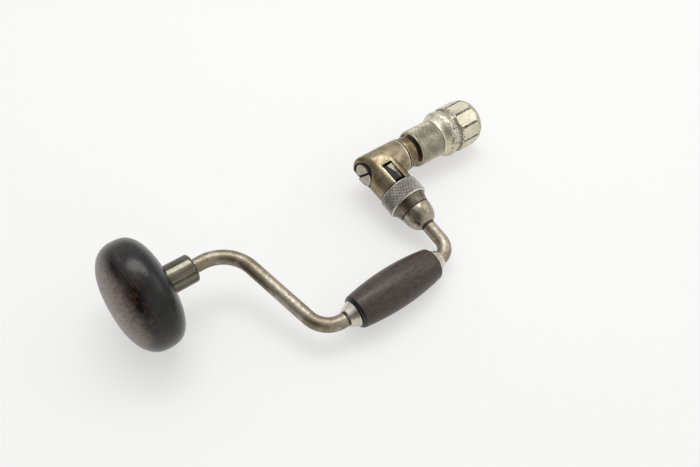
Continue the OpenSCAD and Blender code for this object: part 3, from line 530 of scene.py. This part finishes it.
def platedNose(where):
    # pale plating, dark along the facets' edges and eaten away in pits round the bulge and the waist, with
    # painted shade in the valley behind the facets
    x, y, z = parts(where)
    cloud = noise(where, 0.1, 5, 0.6, 0.5)
    fine = noise(where, 0.55, 5, 0.7)
    pits = noise(where, 0.85, 4, 0.62)
    big = noise(where, 0.26, 5, 0.7, 0.4)
    # how far the round form stands out past the flat of its facet
    turn = (z.maths("ARCTAN2", z, y) - math.radians(nose["firstEdge"])) / noseShare + nose["count"]
    away = (turn.maths("FRACT", turn) - 0.5) * noseShare
    flat = nose["flats"] / away.maths("COSINE", away)
    past = most((x - nose["front"]) / (nose["end"] - nose["front"]), 0.0)
    skin = nose["waistR"] + step(x, nose["waist"], nose["facets"]) * noseRise - domeFall(past) * noseDrop
    off = skin - flat
    ragged = (fine - 0.5) * 0.2 + (big - 0.5) * 0.5
    line = 1 - step(amount(off) + ragged, 0.07, 0.2)
    line = line * step(x, *noseLook["lineFrom"]) * (1 - step(past, 0.55, 0.75))
    dome = step(past, 0.02, 0.1) * (1 - step(off, -0.05, 0.05))
    # painted shade: a dark band in the hollow behind the facets' rear ends
    valley = bandOf(x + (fine - 0.5) * 1.6, *noseLook["valley"], 1.0)
    valley = valley * step(cloud, 0.3, 0.52)
    eaten = bandOf(x, *noseLook["eaten"], 3.0)
    wearAndPaintedLight = step(pits - eaten * 0.035, 0.6, 0.68) * 0.4
    wearAndPaintedLight = most(wearAndPaintedLight, step(pits + eaten * 0.09, 0.64, 0.69))
    wearAndPaintedLight = most(wearAndPaintedLight, step(big + eaten * 0.08, 0.63, 0.68) * step(fine, 0.42, 0.58))
    wearAndPaintedLight = most(most(wearAndPaintedLight, line), valley * 0.7)
    wearAndPaintedLight = wearAndPaintedLight * step(fromAxis(y, z), *noseLook["skin"]) * (1 - dome * 0.8)
    base = blend(step(cloud, 0.38, 0.68), noseLook["plate"], noseLook["warm"])
    base = blend(step(fine, 0.48, 0.72) * 0.65, base, noseLook["dull"])
    base = blend(dome * 0.7, base, noseLook["dome"])
    base = blend(wearAndPaintedLight * 0.92, base, noseLook["pitAndShade"])
    rough = 0.36 - eaten * 0.08 + step(fine, 0.4, 0.75) * 0.14 + wearAndPaintedLight * 0.2
    return {"Base Color": base, "Roughness": rough, "Metallic": 0.97 - wearAndPaintedLight * 0.6,
            "bump": (fine * 0.3 - wearAndPaintedLight, 0.35)}


steel = {}
mainLooks = {"bar": barLook, "box": boxLook, "collar": collarLook, "dark": darkLook, "quill": quillLook,
             "pawl": pawlLook, "grey": greyLook, "screw": screwLook, "bright": brightLook,
             "washer": washerLook}
armLooks = {"bell": bellLook, "ring": ringLook}
for place, looks in ((mainPlace, mainLooks), (armPlace, armLooks)):
    for name, look in looks.items():
        steel[name] = finish(name + "Steel", place, wornSteel(look))
headFinish = finish("headWood", mainPlace, headWood)
handleFinish = finish("handleWood", handlePlace, handleWood)
noseFinish = finish("noseNickel", mainPlace, platedNose)
print("finishes:", len(bpy.data.materials))

# head and quill
head = {"x": -209.08, "radius": 41.4, "front": 22.7, "frontPower": 2.43, "back": 20.0, "backPower": 2.69,
        "quillRadius": 10.8, "cupRear": -200.98, "steps": 40, "rim": 0.4, "gap": 0.05, "lip": 0.02}
face = roundedRun(head["x"], -head["front"], head["radius"], head["frontPower"], head["steps"])
rear = roundedRun(head["x"], head["back"], head["radius"], head["backPower"], head["steps"])
rear = [q for q in rear if q[1] > head["quillRadius"] + head["rim"]]
mouthR = head["quillRadius"] + head["gap"]
mouth = [(rear[-1][0] + head["lip"], mouthR), (head["cupRear"], mouthR), (head["cupRear"], 0)]
piece = spinOutline("woodHead", face[::-1] + rear[1:] + mouth, mainPlace)
wear(standFor(piece, "head", "head_wood", "wood_head"), headFinish)

quill = {"rear": -200.9, "front": -169.18, "radius": 10.8, "edge": 2.5, "bore": 5.56, "lip": 0.3,
         "lipDepth": 0.25, "shoulder": -186.98, "wall": 8.6, "steps": 112}
outline = [(quill["rear"], quill["wall"]), (quill["rear"], quill["radius"])]
outline += [(quill["front"] - a, quill["radius"] - b) for a, b in rounded(quill["edge"])]
outline += [(quill["front"], quill["bore"] + quill["lip"]),
            (quill["front"] - quill["lipDepth"], quill["bore"]), (quill["shoulder"], quill["bore"]),
            (quill["shoulder"], quill["wall"]), outline[0]]
piece = spinOutline("headQuill", outline, mainPlace, quill["steps"])
wear(standFor(piece, "head", "dark_steel", "head_quill"), steel["quill"])
print("head and quill")

# crank bar: a circle extruded along the straights and spun round the bends
crank = {"radius": 5.5, "sweep": sweep, "start": -187.28, "rearStraight": -162.78, "rearBend": 28.3,
         "legSlant": 20.0, "legBend": 19.6, "armBend": 12.0, "armTop": 24.0, "sides": 48,
         "rearCuts": 6, "legCuts": 12, "gripCuts": 14, "armCuts": 10, "rearSteps": 26, "bendSteps": 24,
         "angle": 40}
turn = math.atan2(crank["sweep"], crank["legSlant"])
rearRun = crank["rearBend"] * math.tan(turn / 2)
legRun = crank["legBend"] * math.tan(turn / 2)
legWay = Vector((math.cos(turn), -math.sin(turn), 0))
rearCorner = Vector((crank["rearStraight"] + rearRun, 0, 0))
legCorner = rearCorner + Vector((crank["legSlant"], -crank["sweep"], 0))
legStart = rearCorner + rearRun * legWay
legEnd = legCorner - legRun * legWay
gripStart = legCorner.x + legRun


def runStraight(x, y, cuts):
    for i in range(cuts):
        bpy.ops.mesh.extrude_region_move(TRANSFORM_OT_translate={"value": Vector((x, y, 0)) / cuts})


def runBend(angle, x, y, steps):
    bpy.ops.mesh.spin(steps=steps, angle=angle, center=(x, y, 0), axis=(0, 0, 1))


clearSelection()
bpy.ops.mesh.primitive_circle_add(vertices=crank["sides"], radius=crank["radius"], fill_type="NGON",
                                  location=(crank["start"], 0, 0), rotation=(0, math.pi / 2, 0))
bpy.ops.object.transform_apply(location=True, rotation=True, scale=True)
piece = bpy.context.object
bpy.ops.object.mode_set(mode="EDIT")
bpy.ops.mesh.select_mode(type="FACE")
bpy.ops.mesh.select_all(action="SELECT")
runStraight(crank["rearStraight"] - crank["start"], 0, crank["rearCuts"])
runBend(turn, crank["rearStraight"], -crank["rearBend"], crank["rearSteps"])
runStraight(legEnd.x - legStart.x, legEnd.y - legStart.y, crank["legCuts"])
runBend(-turn, gripStart, crank["legBend"] - crank["sweep"], crank["bendSteps"])
runStraight(-crank["armBend"] - gripStart, 0, crank["gripCuts"])
runBend(-math.pi / 2, -crank["armBend"], crank["armBend"] - crank["sweep"], crank["bendSteps"])
runStraight(0, crank["sweep"] - crank["armBend"] - crank["armTop"], crank["armCuts"])
closeSkin()
keepPiece(piece, "crankBar", mainPlace, crank["angle"])
wear(standFor(piece, "frame", "bar_steel", "crank_frame"), steel["bar"])
print("crank bar:", len(piece.data.polygons), "faces")

# handle and its ferrules
handle = {"rear": -94.1, "front": -19.3, "middle": 15.85, "end": 12.9, "edge": 2.8, "bore": 5.56, "cuts": 40,
          "steps": 128}


def handleRadius(x):
    reach = (handle["front"] - handle["rear"]) / 2 - handle["edge"]
    away = (x - (handle["front"] + handle["rear"]) / 2) / reach
    return handle["middle"] - (handle["middle"] - handle["end"]) * away * away


span = handle["front"] - handle["rear"] - 2 * handle["edge"]
belly = [handle["rear"] + handle["edge"] + span * i / handle["cuts"] for i in range(1, handle["cuts"])]
corner = rounded(handle["edge"])
outline = [(handle["rear"], handle["bore"])]
outline += [(handle["rear"] + a, handle["end"] - b) for a, b in corner[::-1]]
outline += [(x, handleRadius(x)) for x in belly]
outline += [(handle["front"] - a, handle["end"] - b) for a, b in corner]
outline += [(handle["front"], handle["bore"]), outline[0]]
piece = spinOutline("sweepHandle", outline, handlePlace, handle["steps"])
wear(standFor(piece, "handle", "handle_wood", "sweep_handle"), handleFinish)

ferrule = {"big": 10.0, "small": 6.75, "bore": 5.5, "length": 7.0, "edge": 0.35, "rearAt": -94.4,
           "frontAt": -19.0, "lip": ((0.9, 0.42), (0.5, 0.3), (0.12, 0.0), (0.0, -0.2)), "steps": 96,
           "angle": 25}
for name, node, at, way in (("ferruleRear", "handle_ferrule_rear", ferrule["rearAt"], -1),
                            ("ferruleFront", "handle_ferrule_front", ferrule["frontAt"], 1)):
    tip = at + way * ferrule["length"]
    outline = [(at, ferrule["bore"]), (at, ferrule["big"] - ferrule["edge"]),
               (at + way * ferrule["edge"], ferrule["big"])]
    outline += [(tip - way * a, ferrule["small"] + b) for a, b in ferrule["lip"]]
    outline += [(tip, ferrule["bore"]), outline[0]]
    piece = spinOutline(name, outline, handlePlace, ferrule["steps"], ferrule["angle"])
    wear(standFor(piece, "frame", "bright_steel", node), steel["bright"])
print("handle and ferrules")

# bell on the arm
bell = {"seam": 48.6, "radius": 12.65, "length": 16.6, "power": 2.3, "end": 6.5, "bore": 5.5, "cuts": 36,
        "edge": 0.3, "edgeSink": 0.02, "sideFrom": 0.6, "sideTo": 0.2, "steps": 112}
side = roundedRun(bell["seam"], bell["length"], bell["radius"], bell["power"], bell["cuts"])
side = [(x, r) for x, r in side if x > bell["seam"] + bell["sideFrom"] and r > bell["end"] + bell["sideTo"]]
endShare = (1 - (bell["end"] / bell["radius"]) ** bell["power"]) ** (1 / bell["power"])
tip = bell["seam"] + bell["length"] * endShare
outline = [(bell["seam"], bell["bore"]), (bell["seam"], bell["radius"] - bell["edge"]),
           (bell["seam"] + bell["edge"], bell["radius"] - bell["edgeSink"])]
outline += side + [(tip, bell["end"]), (tip + bell["edgeSink"], bell["bore"]), outline[0]]
piece = spinOutline("armBell", outline, armPlace, bell["steps"])
wear(standFor(piece, "frame", "dark_steel", "arm_bell"), steel["bell"])


# knurled bands: a grid stood on its corners, trimmed, poked to points and wrapped round an axis
knurl = {"trim": 0.0001, "merge": 0.001, "angle": 20}


def knurlBand(name, spec, place):
    length = 2 * math.pi * spec["radius"]
    pitch = length / round(length / spec["pitch"])
    cells = 2 * math.ceil((length + spec["width"] + 4 * pitch) / pitch / 2)
    clearSelection()
    bpy.ops.mesh.primitive_grid_add(x_subdivisions=cells, y_subdivisions=cells,
                                    size=cells * pitch / math.sqrt(2))
    piece = bpy.context.object
    bpy.ops.object.mode_set(mode="EDIT")
    bpy.ops.mesh.select_all(action="SELECT")
    bpy.ops.transform.rotate(value=math.pi / 4, orient_axis="Z", center_override=(0, 0, 0))
    for way, half in (((1, 0, 0), length / 2), ((0, 1, 0), spec["width"] / 2)):
        for sign in (1, -1):
            bpy.ops.mesh.select_all(action="SELECT")
            normal = tuple(sign * w for w in way)
            bpy.ops.mesh.bisect(plane_co=tuple(half * n for n in normal), plane_no=normal, clear_outer=True,
                                threshold=knurl["trim"])
    bpy.ops.mesh.select_all(action="SELECT")
    bpy.ops.mesh.poke(offset=spec["depth"], center_mode="MEDIAN")
    bpy.ops.object.mode_set(mode="OBJECT")
    for v in piece.data.vertices:
        turn = v.co.x / spec["radius"]
        r = spec["radius"] + v.co.z
        v.co = (spec["middle"] + v.co.y, r * math.cos(turn), r * math.sin(turn))
    bpy.ops.object.mode_set(mode="EDIT")
    bpy.ops.mesh.select_all(action="SELECT")
    bpy.ops.mesh.remove_doubles(threshold=knurl["merge"])
    # the two open rims are drawn inwards and joined, so that the band is a closed hoop
    bpy.ops.mesh.select_mode(type="EDGE")
    bpy.ops.mesh.select_all(action="DESELECT")
    bpy.ops.mesh.select_non_manifold()
    bpy.ops.mesh.extrude_region_move()
    shrink = 1 - spec["wall"] / spec["radius"]
    bpy.ops.transform.resize(value=(1, shrink, shrink), center_override=(0, 0, 0))
    bpy.ops.mesh.bridge_edge_loops()
    bpy.ops.mesh.select_all(action="SELECT")
    bpy.ops.mesh.normals_make_consistent(inside=False)
    return keepPiece(piece, name, place, knurl["angle"])


ring = {"radius": 16.57, "pitch": 1.7, "depth": 0.42, "wall": 0.3, "middle": 33.25, "width": 12.9,
        "bevel": 0.25}
piece = standFor(knurlBand("shifterKnurl", ring, armPlace), "shifter", "grey_steel")
wear(piece, finish("shifterKnurl", armPlace, knurled(ringGrip, ring["radius"], ring["depth"])))
piece = standFor(cadCopy("shifter_ring", ring["bevel"]), "shifter", "grey_steel", "shifter_ring")
wear(piece, steel["ring"])

sleeve = {"radius": 15.72, "pitch": 1.55, "depth": 0.4, "wall": 0.3, "middle": 47.7, "width": 22.4,
          "bevel": 0.2}
piece = standFor(knurlBand("sleeveKnurl", sleeve, mainPlace), "shell", "grey_steel")
wear(piece, finish("sleeveKnurl", mainPlace, knurled(sleeveGrip, sleeve["radius"], sleeve["depth"])))
piece = standFor(cadCopy("chuck_sleeve", sleeve["bevel"]), "shell", "grey_steel", "chuck_sleeve")
wear(piece, steel["grey"])
print("knurled ring and sleeve")


# chuck nose: spun, then its facets are pressed flat with soft edges
def ease(u):
    return (1 - math.cos(math.pi * u)) / 2


def noseRun(start, end, fromR, toR, cuts, shape):
    # points from one station to the next, without the first
    us = [i / cuts for i in range(1, cuts + 1)]
    return [(nose[start] + (nose[end] - nose[start]) * u, nose[fromR] + (nose[toR] - nose[fromR]) * shape(u))
            for u in us]


outline = [(nose["rear"], nose["shoulderR"])]
outline += noseRun("rear", "bulge", "shoulderR", "bulgeR", 20, lambda u: ease(u) ** nose["shoulderPower"])
outline += noseRun("bulge", "waist", "bulgeR", "waistR", 10, ease)
outline += noseRun("waist", "facets", "waistR", "cornerR", 12, ease)
outline += noseRun("facets", "front", "cornerR", "cornerR", 10, ease)
outline += noseRun("front", "end", "cornerR", "faceR", 16, domeFall)
outline += [(nose["end"], nose["mouthR"] + nose["mouthEdge"]),
            (nose["end"] - nose["mouthEdge"], nose["mouthR"]), (nose["stop"], nose["mouthR"]),
            (nose["stop"], nose["boreR"]), (nose["rear"], nose["boreR"]), outline[0]]
piece = spinOutline("chuckNose", outline, Matrix.Identity(4), nose["steps"], nose["angle"])
for v in piece.data.vertices:
    r = math.hypot(v.co.y, v.co.z)
    if v.co.x > nose["pressFrom"] and r > nose["pressR"]:
        away = (math.atan2(v.co.z, v.co.y) - math.radians(nose["firstEdge"])) % noseShare - noseShare / 2
        flat = nose["flats"] / math.cos(away)
        soft = flat - math.log(math.exp(-nose["soft"] * (r - flat)) + 1) / nose["soft"]
        pressed = min(soft, r) / r
        v.co.y *= pressed
        v.co.z *= pressed
keepPiece(piece, "chuckNose", mainPlace, nose["angle"])
wear(standFor(piece, "shell", "pale_plate", "chuck_nose"), noseFinish)
print("chuck nose:", len(piece.data.polygons), "faces")

# steel pieces whose solids only need softer edges
steelPieces = [
    ("ratchet_box", "frame", 0.7, "patina_steel", "box"),
    ("pawl_upper", "pawl_upper", 0.3, "dark_steel", "pawl"),
    ("pawl_lower", "pawl_lower", 0.3, "dark_steel", "pawl"),
    ("end_screw", "spindle", 0.25, "grey_steel", "screw"),
    ("spindle", "spindle", 0.2, "patina_steel", "collar"),
    ("spindle_washer", "spindle", 0.15, "bright_steel", "washer"),
    ("jaw_a", "jaw_a", 0.25, "grey_steel", "grey"),
    ("jaw_b", "jaw_b", 0.25, "grey_steel", "grey"),
]
for node, body, bevel, slot, look in steelPieces:
    wear(standFor(cadCopy(node, bevel), body, slot, node), steel[look])
print("steel pieces:", len(steelPieces))

# each pawl's spring, which its pawl slides onto, is a merged copy of its solid with a mesh of its own
for side in ("upper", "lower"):
    node = "pawl_spring_" + side
    slide = joints["pawl_%s_slide" % side]
    spring = cadCopy(node)
    wear(standFor(spring, "frame", "grey_steel", node), steel["grey"])
    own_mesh(spring)
print("pawl springs: 2")

# inner pieces keep their solids and take a finish
innerLooks = {"dark": ("bell_pin", "ratchet_wheel"), "bright": ("thrust_balls", "jaw_springs", "chuck_balls"),
              "grey": ("arm_pin", "thrust_cone", "thrust_cup", "wheel_key", "jaw_ring")}
for look, nodes in innerLooks.items():
    for node in nodes:
        wear(frame["nodes"][node], steel[look])

# floor, light and camera: the room is bright on the right and on the far side, and dim on the left
studio = {"floor": (0.9, 0.9, 0.89, 1), "glow": 0.55, "white": (0.95, 0.95, 0.945, 1), "size": 8.0,
          "wallAt": 3.9, "wallHigh": 0.9, "wallSides": 128, "dim": (0.2, 0.2, 0.19, 1),
          "lit": (0.95, 0.95, 0.935, 1), "dimToLit": (-0.6, -0.22), "right": (0.79, -0.61),
          "far": (0.61, 0.79)}
clearSelection()
bpy.ops.mesh.primitive_plane_add(size=studio["size"], location=(0, 0, 0))
floor = bpy.context.object
floor.name = "studioFloor"
clearSelection()
bpy.ops.mesh.primitive_cylinder_add(vertices=studio["wallSides"], radius=studio["wallAt"],
                                    depth=studio["wallHigh"], end_fill_type="NOTHING",
                                    location=(0, 0, studio["wallHigh"] / 2))
wall = bpy.context.object
wall.name = "studioWall"
bpy.ops.object.shade_smooth()

# the camera, metal and glass see a pale floor and wall, and other rays see how the room is lit
look = bpy.data.materials.new("studioFloor")
look.use_nodes = True
tree = look.node_tree
tree.nodes.clear()
ray = tree.nodes.new("ShaderNodeLightPath")
camera, shine, through = (Tap(tree, ray.outputs[n])
                          for n in ("Is Camera Ray", "Is Glossy Ray", "Is Transmission Ray"))
seen = most(camera, most(shine, through))
spot = Tap(tree, tree.nodes.new("ShaderNodeTexCoord").outputs["Object"])
east, north, _ = parts(spot)
toRight = east * studio["right"][0] + north * studio["right"][1]
bounce = blend(step(toRight, *studio["dimToLit"]), studio["dim"], studio["lit"])
matte = seen.node("ShaderNodeBsdfDiffuse", {}, {"Color": blend(seen, bounce, studio["floor"])})
glow = seen.node("ShaderNodeEmission", {}, {"Color": studio["white"], "Strength": 1.0})
mixed = seen.node("ShaderNodeMixShader", {}, {0: seen * studio["glow"], 1: matte, 2: glow})
sink = tree.nodes.new("ShaderNodeOutputMaterial")
tree.links.new(mixed.socket, sink.inputs["Surface"])
floor.data.materials.append(look)
wall.data.materials.append(look)

world = bpy.data.worlds.new("studio")
scene.world = world
world.use_nodes = True
tree = world.node_tree
air = Tap(tree, tree.nodes.new("ShaderNodeTexCoord").outputs["Generated"])
sky = {"low": 0.1, "open": 0.85, "lean": 0.6, "top": (0.34, 0.8), "side": (0.0, 0.7), "colour": (1, 1, 1, 1)}
east, north, height = parts(air)
toRight = east * studio["right"][0] + north * studio["right"][1]
toFar = east * studio["far"][0] + north * studio["far"][1]
overhead = height * math.sqrt(1 - sky["lean"] ** 2) + toFar * sky["lean"]
level = sky["low"] + most(step(overhead, *sky["top"]), step(toRight, *sky["side"])) * sky["open"]
tree.links.new(level.socket, tree.nodes["Background"].inputs["Strength"])
tree.nodes["Background"].inputs["Color"].default_value = sky["colour"]

# name, place, width, height and power of each lamp
lamps = [("keyLight", (0.33, 0.36, 1.2), 1.0, 0.55, 6.5), ("rightFill", (1.0, -0.35, 0.7), 0.8, 0.8, 1.5),
         ("leftFill", (-1.1, 0.1, 0.8), 0.6, 0.6, 0.5)]
for name, at, wide, tall, power in lamps:
    lamp = bpy.data.lights.new(name, "AREA")
    lamp.shape = "RECTANGLE"
    lamp.size, lamp.size_y, lamp.energy = wide, tall, power
    held = bpy.data.objects.new(name, lamp)
    scene.collection.objects.link(held)
    held.location = at
    held.rotation_euler = (-Vector(at)).to_track_quat("-Z", "Y").to_euler()

shot = {"at": (-0.16621558, -0.22807372, 0.42454424), "right": (0.791218, -0.611533, 0.00057),
        "up": (0.499074, 0.646253, 0.577306), "back": (-0.35341, -0.456491, 0.816528), "lens": 33.137,
        "sensor": 36, "clip": (0.01, 50)}
eye = bpy.data.cameras.new("photoCamera")
eye.sensor_width, eye.lens = shot["sensor"], shot["lens"]
eye.clip_start, eye.clip_end = shot["clip"]
held = bpy.data.objects.new("photoCamera", eye)
scene.collection.objects.link(held)
held.matrix_world = Matrix((shot["right"], shot["up"], shot["back"])).transposed().to_4x4()
held.location = shot["at"]
scene.camera = held
scene.view_settings.view_transform = "Standard"
print("studio ready")
